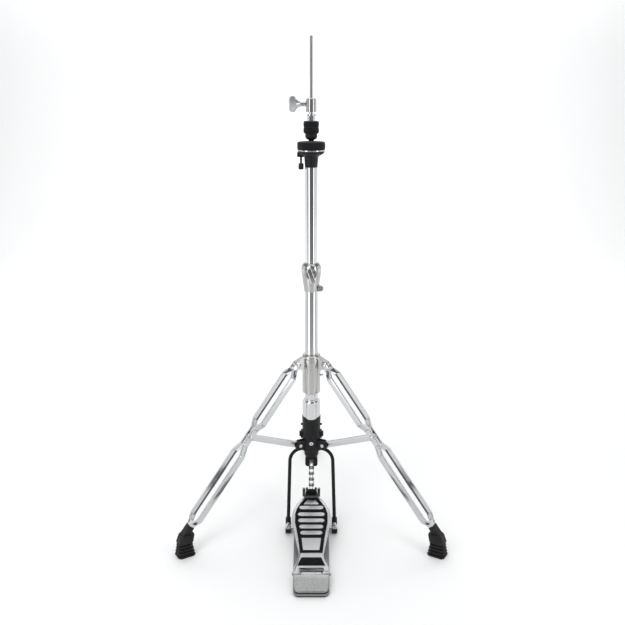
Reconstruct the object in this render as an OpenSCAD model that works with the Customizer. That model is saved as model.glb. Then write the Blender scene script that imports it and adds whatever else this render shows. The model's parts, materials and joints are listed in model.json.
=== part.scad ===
// Hi-hat stand: a pull rod in a telescopic column, a folding tripod and a chain-driven pedal.
// Millimetres, +Z up. The origin is on the floor, in the middle of the footprint, and the player's
// side is -Y. Most modules are drawn about the column's axis and placed by at_column().

/* [Column] */
// Place of the column's axis along Y
column_y = -12; // [-16:1:-6]
// Outer diameter of the lower tube
lower_tube_d = 28.6; // [28:0.1:29]
// Outer diameter of the upper tube
upper_tube_d = 25.4; // [25:0.1:25.4]
// Wall of both tubes
tube_wall = 1.5; // [1.2:0.1:1.5]
// Height of the lower tube's top
lower_tube_top = 590; // [585:1:594]
// Height of the upper tube's lower end
upper_tube_bottom = 432; // [425:1:450]
// Diameter of the pull rod where the clutch is clamped
rod_d = 6; // [5.8:0.1:6]
// Overall height, to the tip of the pull rod
total_height = 1069; // [1060:1:1080]

/* [Tripod] */
// Radius of the leg pivots on the hub
hub_pivot_r = 37; // [36:0.5:38]
// Height of the leg pivots
hub_pivot_z = 386; // [384:1:388]
// Angle of a leg from the vertical
leg_angle = 39.47; // [39:0.01:40]
// Distance along a leg from its pivot to the stretcher rivet
leg_rivet_t = 188; // [186:1:190]
// Width of a leg strip
leg_strip_w = 14; // [13:0.5:15]
// Thickness of the leg sheet
leg_sheet = 1.5; // [1.2:0.1:1.8]
// Radius of the stretcher pivots on the base casting
stretcher_pivot_r = 32; // [31:0.5:33]
// Height of the stretcher pivots
stretcher_pivot_z = 190; // [189:0.5:191]
// Distance from the column to the middle of a foot
foot_r = 316; // [314:1:318]

/* [Pedal] */
// Place of the pedal hinge along Y, from the column's axis
hinge_y = -250; // [-252:1:-248]
// Height of the pedal hinge
hinge_z = 16; // [16:0.5:17]
// Slope of the footboard when the pedal is up
board_tilt = 8.3; // [8:0.1:8.6]
// Front edge of the heel plate along Y, from the column's axis
heel_y = -304; // [-308:1:-300]
// Thickness of the base plate
base_plate_t = 5; // [4:0.5:5]
// Thickness of the rubber under the base plate
base_rubber_t = 3; // [2:0.5:3]
// Pitch of the chain
chain_pitch = 14.3; // [14.2:0.1:14.4]

/* [Seat and clutch] */
// Diameter of the cymbal seat
seat_d = 58; // [54:1:60]
// Height of the underside of the seat plate
seat_z = 846; // [846:0.5:847]
// Diameter of the clutch felts
clutch_felt_d = 32; // [30:1:34]
// Height of the clutch's wing screw
clutch_screw_z = 938.5; // [938:0.5:939]

/* [Hidden] */

$fn = 64;
eps = 0.01;
run_gap = 0.08;      // running clearance of a shaft or slide, on the radius
lower_r = lower_tube_d / 2;
upper_r = upper_tube_d / 2;
rod_r = rod_d / 2;
rod_body_r = 2.75;   // the rod is turned down a little below the clutch
leg_azimuths = [210, 330, 90];
leg_pin_r = 2.5;
casting_r = 20.5;
casting_bottom = 154;
base_top = base_rubber_t + base_plate_t;
board_top = 6;       // height of the footboard's upper face above the hinge, square to the board
frame_rod_r = 4;
frame_rod_x = 49;       // where the bends end
frame_rod_splay = 1.5;  // the sides part by this many degrees on their way down
frame_rod_len = 176.2;  // from the top bar to the lower ends
spur_x = 52.6;
frame_rod_bend = 29;
frame_rod_lean = 18.6;
frame_rod_top = [0, -10, 178];
spur_y = -77;
spur_r = 3;
centre_screw_z = 196;
block_top = 26;
spur_head_z = 11;   // underside of the spur's knurled head
clevis_pin_z = 138.43;
chain_links = 5;
chain_lean = 4.81;   // the chain leans towards the player by this many degrees

module at_column() translate([0, column_y, 0]) children();
module in_leg_plane(azimuth) at_column() rotate([0, 0, azimuth]) children();
// Local X runs down the leg from its pivot, local Y is across the leg and local Z is outwards.
module along_leg(azimuth) in_leg_plane(azimuth)
    translate([hub_pivot_r, 0, hub_pivot_z]) rotate([0, 90 - leg_angle, 0]) children();
// Local Y runs up the footboard from the hinge and local Z is square to the board.
module on_board() at_column() translate([0, hinge_y, hinge_z]) rotate([board_tilt, 0, 0]) children();
module rod_z(r, z0, z1) translate([0, 0, z0]) cylinder(r = r, h = z1 - z0);
module rod_x(r, x0, x1) translate([x0, 0, 0]) rotate([0, 90, 0]) cylinder(r = r, h = x1 - x0);
module rod_y(r, y0, y1) translate([0, y0, 0]) rotate([-90, 0, 0]) cylinder(r = r, h = y1 - y0);
module ring_z(r, hole_r, z0, z1) difference() {
    rod_z(r, z0, z1);
    rod_z(hole_r, z0 - 1, z1 + 1);
}
module box(x0, x1, y0, y1, z0, z1) translate([x0, y0, z0]) cube([x1 - x0, y1 - y0, z1 - z0]);
module turned(profile) rotate_extrude($fn = 96) polygon(profile);
function mirrored(half) = concat(half, [for (i = [len(half) - 1:-1:0]) [-half[i][0], half[i][1]]]);
function shrunk(half, w, l) = [for (q = half) [q[0] - w, q[1] + (q[1] > 100 ? -l : l)]];

// ---- Column ----

module lower_tube() color("silver") at_column()
    ring_z(lower_r, lower_r - tube_wall, stretcher_pivot_z, lower_tube_top);

module tube_sleeve() color("silver") at_column() turned([[lower_r, 246], [20, 246], [20, 293],
    [18.8, 295], [15.9, 295.4], [15.9, 298.5], [15.3, 299], [lower_r, 299]]);

module upper_tube() color("silver") at_column()
    ring_z(upper_r, upper_r - tube_wall, upper_tube_bottom, 828);

module height_clamp() color("gainsboro") at_column() difference() {
    union() {
        turned([[0, 549.5], [15.4, 549.5], [16.4, 556], [18.4, 570], [21.3, 590], [21.3, 600],
            [19.5, 607], [16, 611.3], [0, 611.3]]);
        translate([0, 0, 592]) rod_y(11, -29, -10);
        translate([20, -2, 556]) rod_y(6, -7, 7);
        box(12, 20, -9, 5, 550, 562);
    }
    rod_z(lower_r, 540, lower_tube_top);
    rod_z(upper_r + 0.5, lower_tube_top, 620);
    rod_z(lower_r, lower_tube_top - eps, 606);
    translate([0, 0, 592]) rod_y(4.1, -40, -10);
    translate([20, -2, 556]) rod_y(2.5, -20, 20);
}

module clamp_bushing() color("black") at_column()
    ring_z(lower_r, upper_r + run_gap, lower_tube_top, 606);

module clamp_pinch_screw() color("silver") at_column() translate([20, -2, 556]) {
    rod_y(2.5, -7, 9);
    rod_y(4.5, -10, -7);
}

module clamp_wing_bolt() color("silver") at_column() translate([0, 0, 592]) {
    rod_y(4, -34, -15);
    rod_y(6, -40, -29.5);
    rotate([0, 72, 0]) {
        box(-12, 12, -46, -39, -4, 4);
        for (side = [-1, 1]) translate([12 * side, 0, 0]) rod_y(6, -46, -39.5);
    }
}

module rod_guide_bush() color("white") at_column() {
    ring_z(5, rod_body_r + run_gap, casting_bottom + 2, stretcher_pivot_z);
    ring_z(11, rod_body_r + run_gap, stretcher_pivot_z, stretcher_pivot_z + 3);
}

// A coil spring swept as rings of points along a helix.
spring_turns = 10;
spring_z0 = stretcher_pivot_z + 3;
spring_z1 = 286;
spring_mean_r = 8;
spring_wire_r = 1.3;
ring_sides = 8;
rings_per_turn = 14;
spring_rings = spring_turns * rings_per_turn;
spring_points = [for (i = [0:spring_rings]) let (a = 360 * i / rings_per_turn,
    z = spring_z0 + spring_wire_r + (spring_z1 - spring_z0 - 2 * spring_wire_r) * i / spring_rings)
    for (k = [0:ring_sides - 1]) let (b = 360 * k / ring_sides, r = spring_mean_r + spring_wire_r * cos(b))
        [r * cos(a), r * sin(a), z + spring_wire_r * sin(b)]];
spring_faces = concat(
    [[for (k = [ring_sides - 1:-1:0]) k]],
    [for (i = [0:spring_rings - 1], k = [0:ring_sides - 1]) let (n = (k + 1) % ring_sides)
        [i * ring_sides + k, i * ring_sides + n, (i + 1) * ring_sides + n, (i + 1) * ring_sides + k]],
    [[for (k = [0:ring_sides - 1]) spring_rings * ring_sides + k]]);

module return_spring() color("dimgray") at_column()
    polyhedron(points = spring_points, faces = spring_faces);

// ---- Base casting and the rod frame of the pedal ----

module frame_rod_shape(r) translate(frame_rod_top) rotate([-frame_rod_lean, 0, 0]) {
    rod_x(r, frame_rod_bend - frame_rod_x, frame_rod_x - frame_rod_bend);
    for (side = [-1, 1]) translate([side * (frame_rod_x - frame_rod_bend), 0, -frame_rod_bend]) {
        rotate([90, 0, 0]) rotate([0, 0, side > 0 ? frame_rod_splay : 90])
            rotate_extrude(angle = 90 - frame_rod_splay) translate([frame_rod_bend, 0]) circle(r);
        rotate([0, -side * frame_rod_splay, 0]) translate([side * frame_rod_bend, 0, 0])
            rod_z(r, frame_rod_bend - frame_rod_len, 0);
    }
}

module frame_rod() color("black") at_column() frame_rod_shape(frame_rod_r);

module frame_rod_screw() color("silver") at_column() translate([0, 0, centre_screw_z]) difference() {
    union() {
        rod_y(3, -21, -15);
        rod_y(4.7, -24, -casting_r);
    }
    rod_y(2.2, -25, -21, $fn = 6);
}

// The bar's hole through the casting, and room for the bends beside it.
module frame_rod_room() translate(frame_rod_top) rotate([-frame_rod_lean, 0, 0]) {
    rod_x(frame_rod_r, -24, 24);
    for (side = [-1, 1]) box(side > 0 ? 20 : -40, side > 0 ? 40 : -20, -4.4, 4.4, -14, 4.4);
}

module stretcher_fork() for (side = [-1, 1]) translate([0, side * 4.4, 0]) {
    translate([stretcher_pivot_r, 0, stretcher_pivot_z]) rod_y(10.5, -2, 2);
    box(16, stretcher_pivot_r, -2, 2, stretcher_pivot_z - 10.5, stretcher_pivot_z + 10.5);
}

module base_casting() color([0.12, 0.12, 0.13]) at_column() difference() {
    union() {
        turned([[0, casting_bottom], [10, casting_bottom], [13.3, 155.6], [15.7, 158.8], [16.5, 163], [16.5, 168],
            [casting_r, 172], [casting_r, 245], [20.9, 246], [20.9, 257], [0, 257]]);
        for (a = leg_azimuths) rotate([0, 0, a]) stretcher_fork();
        for (side = [-1, 1]) box(side > 0 ? 15 : -24, side > 0 ? 24 : -15, -7, 7, 203, 219);
    }
    rod_z(lower_r, stretcher_pivot_z, 260);
    rod_z(20, 246, 260);
    rotate([90, 0, 0]) linear_extrude(height = 60, center = true)
        polygon(mirrored([[16.4, 258], [11, 254.6], [5.5, 253.2]]));
    rod_z(5, casting_bottom + 2, 200);
    rod_z(rod_body_r + 0.5, 150, 170);
    frame_rod_room();
    for (a = leg_azimuths) rotate([0, 0, a]) {
        translate([stretcher_pivot_r, 0, stretcher_pivot_z]) rod_y(leg_pin_r, -20, 20);
        translate([stretcher_pivot_r, 0, stretcher_pivot_z]) rod_y(9, -2.4, 2.4);
        box(stretcher_pivot_r, 60, -2.4, 2.4, 170, 210);
    }
    translate([0, 0, centre_screw_z]) rod_y(3, -30, -15);
    translate([0, 0, 211]) rod_x(3, -30, 30);
    translate([0, 0, 234.5]) rod_x(2.5, -30, 30);
}

// Two clamp bolts in the ears, and above them two set screws that hold the tube.
module casting_screws() color([0.1, 0.1, 0.1]) at_column() for (turn = [0, 180]) rotate([0, 0, turn]) {
    translate([0, 0, 211]) difference() {
        union() {
            rod_x(3, 15, 24);
            rod_x(6.5, 24, 27.4);
        }
        rod_x(2.9, 26, 30, $fn = 6);
    }
    translate([0, 0, 234.5]) difference() {
        rod_x(2.5, lower_r, 24);
        rod_x(1.3, 22, 30, $fn = 6);
    }
}

module stretcher_pivot_pins() color("silver") for (a = leg_azimuths) in_leg_plane(a)
    translate([stretcher_pivot_r, 0, stretcher_pivot_z]) {
        rod_y(leg_pin_r, -6.4, 6.4);
        for (side = [-1, 1]) rod_y(4.2, side * 6.4 - (side < 0 ? 2 : 0), side * 6.4 + (side > 0 ? 2 : 0));
    }

module spur_block(side) color([0.1, 0.1, 0.1]) at_column() difference() {
    translate([side * spur_x - 6, 0, 0]) rotate([90, 0, 90]) linear_extrude(height = 12)
        polygon([[-83.5, 4], [-82, 2.5], [-55, 2.5], [-52, 6], [-50.5, 24], [-52, block_top], [-63.5, block_top],
            [-67.5, spur_head_z - 0.4], [-83.5, spur_head_z - 0.4]]);
    frame_rod_shape(frame_rod_r);
    translate([side * spur_x, spur_y, 0]) rod_z(spur_r + run_gap, -1, 40);
    translate([0, -66, 5.5]) rod_x(2.5, side > 0 ? 40 : -53, side > 0 ? 53 : -40);
}
module spur_blocks() for (side = [-1, 1]) spur_block(side);

// The knurled head stands on the block's front shelf.
module spur(side) color("silver") at_column() translate([side * spur_x, spur_y, 0]) difference() {
    turned([[0, 1], [0.6, 1], [spur_r, 6], [spur_r, spur_head_z], [5.2, spur_head_z], [5.8, spur_head_z + 1],
        [5.8, spur_head_z + 9], [5.2, spur_head_z + 10], [spur_r, spur_head_z + 10], [spur_r, spur_head_z + 15],
        [2.2, spur_head_z + 16], [0, spur_head_z + 16]]);
    for (i = [0:15]) rotate([0, 0, 22.5 * i]) translate([6.3, 0, 0]) rod_z(0.8, spur_head_z - 1, spur_head_z + 11);
}
module spur_left() spur(-1);
module spur_right() spur(1);

module frame_pivot_pins() color("silver") at_column() for (side = [-1, 1])
    translate([0, -66, 5.5]) rod_x(2.5, side > 0 ? 30 : -53, side > 0 ? 53 : -30);

// ---- Pedal ----

base_outline = mirrored([[0, heel_y], [28, heel_y], [33.5, heel_y + 3.5], [36.5, heel_y + 10],
    [39.5, -66], [38, -56], [33, -52], [0, -52]]);

module base_plate() color("darkgray") at_column() difference() {
    translate([0, 0, base_rubber_t]) linear_extrude(height = base_plate_t) polygon(base_outline);
    for (y = [-100, -150, -200]) translate([0, y, 0]) rod_z(14, 0, 20);
    translate([0, -66, 5.5]) for (side = [-1, 1]) rod_x(2.5, side > 0 ? 30 : -53, side > 0 ? 53 : -30);
    for (x = [-24, 24], y = [-296, -272]) translate([x, y, 0]) rod_z(2.5, 0, 20);
}

module base_rubber() color([0.08, 0.08, 0.08]) at_column() difference() {
    linear_extrude(height = base_rubber_t) polygon([for (q = base_outline) [q[0] * 0.96, q[1] * 0.997]]);
    for (y = [-100, -150, -200]) translate([0, y, 0]) rod_z(16, -1, 20);
    for (x = [-24, 24], y = [-296, -272]) translate([x, y, 0]) rod_z(5, -1, 20);
}

heel_front = mirrored([[0, heel_y + 1], [27, heel_y + 1], [32, heel_y + 3.5], [35, heel_y + 9], [36.5, -251.5],
    [0, -251.5]]);
knuckle_r = 5.5;
tongue_half = 21.5;  // half the width of the heel plate's tongue
ear_x = 23.2;        // where the footboard's knuckles begin

// A wedge-shaped tread; its tongue runs back between the footboard's knuckles.
module heel_plate() color("silver") at_column() difference() {
    union() {
        intersection() {
            translate([0, 0, base_top]) linear_extrude(height = 20) polygon(heel_front);
            rotate([90, 0, 90]) linear_extrude(height = 90, center = true)
                polygon([[-310, 0], [-310, 13.3], [-251, 20.7], [-251, 0]]);
        }
        rotate([90, 0, 90]) linear_extrude(height = 2 * tongue_half, center = true)
            polygon([[-253, base_top], [-253, 20.4], [-250, 21.3], [-244.6, 21.3], [-244, 20.7], [-244, base_top]]);
    }
    translate([0, hinge_y, hinge_z]) rod_x(3, -50, 50);
    for (side = [-1, 1]) translate([0, hinge_y, hinge_z])
        rod_x(knuckle_r + 0.4, side > 0 ? tongue_half : -50, side > 0 ? 50 : -tongue_half);
    for (x = [-24, 24], y = [-296, -272]) translate([x, y, 0]) rod_z(2.5, 0, 11);
}

module heel_plate_rivets() color("silver") at_column() for (x = [-24, 24], y = [-296, -272])
    translate([x, y, 0]) {
        rod_z(2.5, base_rubber_t, 11);
        rod_z(4.5, 0.6, base_rubber_t);
    }

module hinge_pin() color("silver") at_column() translate([0, hinge_y, hinge_z]) {
    rod_x(3, -37.5, 37.5);
    rod_x(4.5, 37.5, 40.5);
    rod_x(4.5, -39.5, -37.5);
}

board_half = [[36.5, 0], [36.5, 13], [27, 38], [26.4, 56], [35.5, 112], [43.2, 155], [43.4, 175],
    [40, 195], [33, 215], [24, 230], [17, 238], [13.5, 256]];
grip_half = [[24, 55], [29.3, 105], [36.2, 150], [36.5, 178], [33, 194], [26, 211], [18, 226], [13.5, 232]];

module footboard() color("silver") on_board() difference() {
    union() {
        translate([0, 0, 2.5]) linear_extrude(height = board_top - 2.5) polygon(mirrored(board_half));
        translate([0, 0, -3]) linear_extrude(height = 5.6) difference() {
            polygon(mirrored([for (i = [1:len(board_half) - 2]) board_half[i]]));
            polygon(mirrored(shrunk([for (i = [1:len(board_half) - 2]) board_half[i]], 3, 3)));
        }
        for (l = [70, 110, 150, 190]) box(-24, 24, l, l + 3, -1, 3);
        for (side = [-1, 1]) rod_x(knuckle_r, side > 0 ? ear_x : -36.5, side > 0 ? 36.5 : -ear_x);
    }
    rod_x(3 + run_gap, -50, 50);
    box(-ear_x, ear_x, -12, 9, -10, 10);
    for (x = [-8, 8]) translate([x, 245, 0]) rod_z(2, -5, 10);
}

window_r = 6.8;      // radius of a window's round ends
module bar_window(l, half_w) {
    box(window_r - half_w, half_w - window_r, l - window_r, l + window_r, board_top - 1, board_top + 5);
    for (side = [-1, 1]) translate([side * (half_w - window_r), l, 0]) rod_z(window_r, board_top - 1, board_top + 5);
}

module footboard_grip() color([0.07, 0.07, 0.07]) on_board() difference() {
    translate([0, 0, board_top]) linear_extrude(height = 1.6) {
        polygon(mirrored(grip_half));
        polygon(mirrored([[28.5, 18], [20.7, 39.6]]));
    }
    for (w = [[199, 28], [176, 31], [155.4, 30], [135, 27.2], [115.4, 24.7]]) bar_window(w[0], w[1]);
    translate([0, 0, board_top - 1]) linear_extrude(height = 5)
        polygon(mirrored([[18.5, 209], [10, 226]]));
    translate([0, 0, board_top - 1]) linear_extrude(height = 5) polygon(mirrored([[17.5, 61], [21.5, 99]]));
}

module footboard_badge() color("silver") on_board() translate([0, 0, board_top]) linear_extrude(height = 1.2)
    polygon(mirrored([[17.2, 61.4], [21.1, 98.6]]));

// The chain's last pin, seen from the board's hinge.
toe_pin = [0, 248.8, 15.4];

module toe_bracket() color("gray") on_board() difference() {
    union() {
        box(-20.5, 20.5, 238, 252, board_top, board_top + 3);
        for (side = [-1, 1]) box(side > 0 ? 14 : -20.5, side > 0 ? 20.5 : -14, 240, 244, board_top, 28);
    }
    for (x = [-8, 8]) translate([x, 245, 0]) rod_z(2, -5, 20);
    box(-5.5, 5.5, 243, 260, board_top - 1, 20);
}

// A tapered front wall with two cheeks behind it that hold the chain's last pin.
module toe_clamp() color([0.08, 0.08, 0.08]) on_board() difference() {
    union() {
        for (side = [-1, 1]) rotate([90, 0, 90]) translate([0, 0, side > 0 ? 7.6 : -12.8])
            linear_extrude(height = 5.2) polygon([[240, 9], [256, 9], [256, 19], [253, 21], [240, 21]]);
        translate([0, 242.6, 0]) rotate([90, 0, 0]) linear_extrude(height = 4.6)
            polygon(mirrored([[13.4, 9], [11.6, 17], [7, 25]]));
    }
    translate(toe_pin) rod_x(3.4, -30, 30);
    for (x = [-10.3, 10.3]) translate([x, 245, 0]) rod_z(1.5, 0, 14);
}

module toe_screws() color("silver") on_board() {
    for (x = [-8, 8]) translate([x, 245, 0]) rod_z(2, 1.5, 9);
    for (x = [-8, 8]) translate([x, 245, 0]) rod_z(3.6, -0.5, 1.5);
}

// ---- Pull rod and chain ----

module upper_pull_rod() color("silver") at_column() {
    rod_z(rod_body_r, 470, clutch_top + 1);
    rod_z(rod_r, clutch_top + 1, total_height - 3);
    turned([[0, total_height - 3], [rod_r, total_height - 3], [2.7, total_height - 1.3], [1.7, total_height - 0.3],
        [0, total_height]]);
}

module lower_pull_rod() color("silver") at_column() rod_z(rod_body_r, 147, 470);

module rod_coupler() color("silver") at_column() difference() {
    rod_z(5.5, 455, 485, $fn = 6);
    rod_z(rod_body_r, 450, 490);
}

module spring_collar() color("dimgray") at_column() ring_z(10.5, rod_body_r, spring_z1, 294);

module chain_clevis() color([0.1, 0.1, 0.1]) at_column() difference() {
    rotate([90, 0, 0]) linear_extrude(height = 15, center = true)
        polygon(mirrored([[9.5, 131], [13, 133], [14.2, 137], [14.2, 149], [12.5, 152.5]]));
    box(-4.2, 4.2, -10, 10, 120, 146.5);
    rod_z(rod_body_r, 146, 160);
    translate([0, 0, clevis_pin_z]) rod_x(2, -20, 20);
}

module clevis_pin() color("silver") at_column() translate([0, 0, clevis_pin_z]) rod_x(2, -10.5, 10.5);

module on_chain() at_column() translate([0, 0, clevis_pin_z]) rotate([-chain_lean, 0, 0]) children();
module link_plate(x, i, t) translate([x, 0, -i * chain_pitch]) difference() {
    union() {
        rod_x(4.3, 0, t);
        translate([0, 0, -chain_pitch]) rod_x(4.3, 0, t);
        box(0, t, -3.4, 3.4, -chain_pitch, 0);
    }
    rod_x(2 + (i == 0 ? run_gap : 0), -1, t + 1);
    translate([0, 0, -chain_pitch]) rod_x(2, -1, t + 1);
}

module chain_plates() color([0.1, 0.1, 0.1]) on_chain() for (i = [0:chain_links - 1], side = [-1, 1]) {
    x = i % 2 == 0 ? 2.6 : 4.1;
    link_plate(side > 0 ? x : -x - 1.3, i, 1.3);
}

// The rollers with their pins; the top roller turns on the clevis pin.
module chain_pins() color("silver") on_chain() {
    difference() {
        rod_x(4, -2.5, 2.5);
        rod_x(2 + run_gap, -5, 5);
    }
    for (i = [1:chain_links]) translate([0, 0, -i * chain_pitch]) {
        rod_x(4, -2.5, 2.5);
        rod_x(2, i < chain_links ? -6.6 : -11, i < chain_links ? 6.6 : 11);
    }
}

// ---- Seat and clutch ----

tilt_pivot_x = 12;
tilt_pivot_z = 842;
tilt_lug = 3.2;      // half the width of the lug under the seat plate
tilt_screw_x = -21;
seat_plate_t = 2.5;

module seat_tilter() color([0.1, 0.1, 0.1]) at_column() difference() {
    union() {
        turned([[0, 813], [12.9, 813], [14.4, 833], [17, 836], [25, 840], [27, 843], [27, 845], [0, 845]]);
        translate([tilt_screw_x, 0, 0]) rod_z(7.5, 834, 843);
        box(-29, -12, -5, 5, 834, 843);
    }
    difference() {
        turned([[0, 831], [11, 831], [12.5, 836], [22, 841], [24.4, 843.5], [24.4, 850], [0, 850]]);
        for (side = [-1, 1])
            box(tilt_pivot_x - 4.5, tilt_pivot_x + 4.5, side > 0 ? 4.5 : -8, side > 0 ? 8 : -4.5, 830, 851);
        translate([tilt_screw_x, 0, 0]) rod_z(4, 830, 843);
    }
    rod_z(upper_r, 800, 828);
    rod_z(8, 827, 832);
    translate([tilt_screw_x, 0, 0]) rod_z(2.15 + run_gap, 800, 850);
    translate([tilt_pivot_x, 0, tilt_pivot_z]) rod_y(2, -12, 12);
}

module tilter_bush() color("white") at_column() ring_z(8, rod_body_r + run_gap, 822, 832);

module seat_pivot_pin() color("silver") at_column() translate([tilt_pivot_x, 0, tilt_pivot_z]) rod_y(2, -8, 8);

module seat_plate() color("silver") at_column() difference() {
    union() {
        turned([[0, seat_z], [seat_d / 2 - 1, seat_z], [seat_d / 2, seat_z + 0.8], [seat_d / 2, seat_z + seat_plate_t],
            [0, seat_z + seat_plate_t]]);
        translate([tilt_pivot_x, 0, tilt_pivot_z]) rod_y(tilt_lug, -4, 4);
        box(tilt_pivot_x - tilt_lug, tilt_pivot_x + tilt_lug, -4, 4, tilt_pivot_z, seat_z + 1);
    }
    rod_z(9, seat_z - 12, seat_z + 10);
    translate([tilt_pivot_x, 0, tilt_pivot_z]) rod_y(2 + run_gap, -12, 12);
}

module seat_felt() color([0.1, 0.1, 0.1]) at_column()
    turned([[8, seat_z + seat_plate_t], [seat_d / 2 - 1.5, seat_z + seat_plate_t], [seat_d / 2, seat_z + 6],
        [seat_d / 2, seat_z + 15], [seat_d / 2 - 3, seat_z + 18], [8, seat_z + 18]]);

module tilt_screw() color([0.15, 0.15, 0.15]) at_column() translate([tilt_screw_x, 0, 0]) {
    rod_z(2.15, 815, seat_z - 0.4);
    difference() {
        rod_z(5.35, 808.5, 821);
        for (i = [0:11]) rotate([0, 0, 30 * i]) translate([5.9, 0, 0]) rod_z(0.9, 800, 830);
    }
}

clutch_bore_r = rod_r + 0.1;
clutch_top = 950;
clutch_tube_r = 4.75;

module clutch_body() color("gainsboro") at_column() difference() {
    union() {
        turned([[0, 923], [10.6, 923], [10.6, clutch_top - 1.4], [9.2, clutch_top], [0, clutch_top]]);
        translate([0, 0, clutch_screw_z]) rod_x(5.5, -13, 0);
    }
    rod_z(clutch_bore_r, 900, 960);
    rod_z(clutch_tube_r, 915, 932);
    translate([0, 0, clutch_screw_z]) rod_x(3 + run_gap, -20, 0);
}

module clutch_tube() color("silver") at_column() ring_z(clutch_tube_r, clutch_bore_r, 868, 932);

module clutch_lock_nuts() color("silver") at_column() difference() {
    union() {
        rod_z(8.4, 905, 916, $fn = 6);
        rod_z(9.2, 915.2, 919);
    }
    rod_z(clutch_tube_r, 900, 920);
}

module clutch_felts() color([0.1, 0.1, 0.1]) at_column() for (z = [881, 893.1])
    turned([[clutch_tube_r, z], [clutch_felt_d / 2 - 1.5, z], [clutch_felt_d / 2, z + 2],
        [clutch_felt_d / 2, z + 9.9], [clutch_felt_d / 2 - 1.5, z + 11.9], [clutch_tube_r, z + 11.9]]);

module clutch_bottom_nut() color([0.1, 0.1, 0.1]) at_column() difference() {
    turned([[0, 865.6], [5, 865.6], [6, 868.4], [9.5, 869.4], [12.25, 873.5], [12.25, 880], [11.5, 881], [0, 881]]);
    rod_z(clutch_tube_r, 860, 890);
    for (i = [0:15]) rotate([0, 0, 22.5 * i]) translate([12.7, 0, 0]) rod_z(1, 860, 890);
}

// Turned a little, so that the wing's face looks down towards the player.
module clutch_wing_screw() color("silver") at_column() translate([0, 0, clutch_screw_z]) rotate([18, 0, 0]) {
    rod_x(3, -16, -3.6);
    rod_x(5, -30, -14);
    box(-45.6, -33, -2.5, 2.5, -10.5, 10.5);
    rotate([90, 0, 0]) linear_extrude(height = 5, center = true)
        polygon([[-33, -14.5], [-26.5, -7.4], [-20, -4.6], [-20, 4.6], [-26.5, 7.4], [-33, 14.5]]);
    for (side = [-1, 1]) translate([-38.1, 0, side * 9.6]) rod_y(8, -2.5, 2.5);
}

// ---- Tripod ----

module leg_hub() color("gainsboro") at_column() difference() {
    union() {
        turned([[0, 315], [19, 315], [20, 316.5], [20, 371], [22, 375], [22, 396], [20, 397], [20, 403],
            [18.5, 404.5], [0, 404.5]]);
        for (a = leg_azimuths) rotate([0, 0, a]) {
            rotate([90, 0, 0]) linear_extrude(height = 12, center = true)
                polygon([[15, 369], [24, 370], [hub_pivot_r + 4, hub_pivot_z - 6.9],
                    [hub_pivot_r + 4, hub_pivot_z + 6.9], [24, 400], [15, 403]]);
            translate([hub_pivot_r, 0, hub_pivot_z]) rod_y(8, -6, 6);
        }
    }
    rod_z(lower_r + run_gap, 300, 420);
    for (side = [-1, 1]) box(side > 0 ? 12 : -25, side > 0 ? 25 : -12, -3, 3, 310, 331);
    for (a = leg_azimuths) rotate([0, 0, a]) translate([hub_pivot_r, 0, hub_pivot_z])
        rod_y(leg_pin_r + run_gap, -20, 20);
    translate([0, 0, 355]) rod_x(3, lower_r - 1, 30);
}

module hub_key_screw() color("silver") at_column() translate([0, 0, 355]) {
    rod_x(3, lower_r + 0.4, 22);
    rod_x(2.2, 22, 27, $fn = 4);
}

// Outer face of a leg strip: places along the leg, and the distance from the leg's middle plane.
strip_line = [[-8, 8], [13, 8], [30, 21], [150, 21], [168, 8.5], [207, 8.5], [230, 21], [394, 21], [409, 8.9], [414, 8.9]];
flange_line = [[20, 13.4], [30, 21], [150, 21], [168, 8.5], [207, 8.5], [230, 21], [394, 21], [401, 15.4]];
function band(line, depth) = concat(line, [for (i = [len(line) - 1:-1:0]) [line[i][0], line[i][1] - depth]]);

module leg_strip() difference() {
    union() {
        linear_extrude(height = leg_strip_w, center = true) polygon(band(strip_line, leg_sheet));
        for (side = [-1, 1]) translate([0, 0, side * (leg_strip_w - leg_sheet) / 2])
            linear_extrude(height = leg_sheet, center = true) polygon(band(flange_line, 4.5));
    }
    rod_y(leg_pin_r, -30, 30);
    translate([leg_rivet_t, 0, 0]) rod_y(3, -30, 30);
}

module leg_tip() box(404, 436, -7.8, 7.8, -5.5, 5.5);

module leg(azimuth) along_leg(azimuth) {
    leg_strip();
    mirror([0, 1, 0]) leg_strip();
    rod_y(leg_pin_r, -10, 10);
    for (side = [-1, 1]) scale([1, side, 1]) {
        rod_y(4.5, 8, 10.5);
        translate([leg_rivet_t, 0, 0]) rod_y(3, 3, 9);
        translate([leg_rivet_t, 0, 0]) rod_y(5, 8.5, 11);
    }
    leg_tip();
}
module leg_left() color("silver") leg(leg_azimuths[0]);
module leg_right() color("silver") leg(leg_azimuths[1]);
module leg_rear() color("silver") leg(leg_azimuths[2]);

stretcher_w = 15;
stretcher_rise = hub_pivot_z - leg_rivet_t * cos(leg_angle) - stretcher_pivot_z;
stretcher_run = hub_pivot_r + leg_rivet_t * sin(leg_angle) - stretcher_pivot_r;
stretcher_len = sqrt(pow(stretcher_rise, 2) + pow(stretcher_run, 2));
stretcher_angle = atan2(stretcher_rise, stretcher_run);

module stretcher(azimuth) in_leg_plane(azimuth) translate([stretcher_pivot_r, 0, stretcher_pivot_z])
    rotate([0, -stretcher_angle, 0]) difference() {
        union() {
            box(0, stretcher_len, -2, 2, -stretcher_w / 2, stretcher_w / 2);
            for (x = [0, stretcher_len]) translate([x, 0, 0]) rod_y(stretcher_w / 2, -2, 2);
        }
        rod_y(leg_pin_r + run_gap, -5, 5);
        translate([stretcher_len, 0, 0]) rod_y(3.2, -5, 5);
    }
module stretcher_left() color("silver") stretcher(leg_azimuths[0]);
module stretcher_right() color("silver") stretcher(leg_azimuths[1]);
module stretcher_rear() color("silver") stretcher(leg_azimuths[2]);

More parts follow.
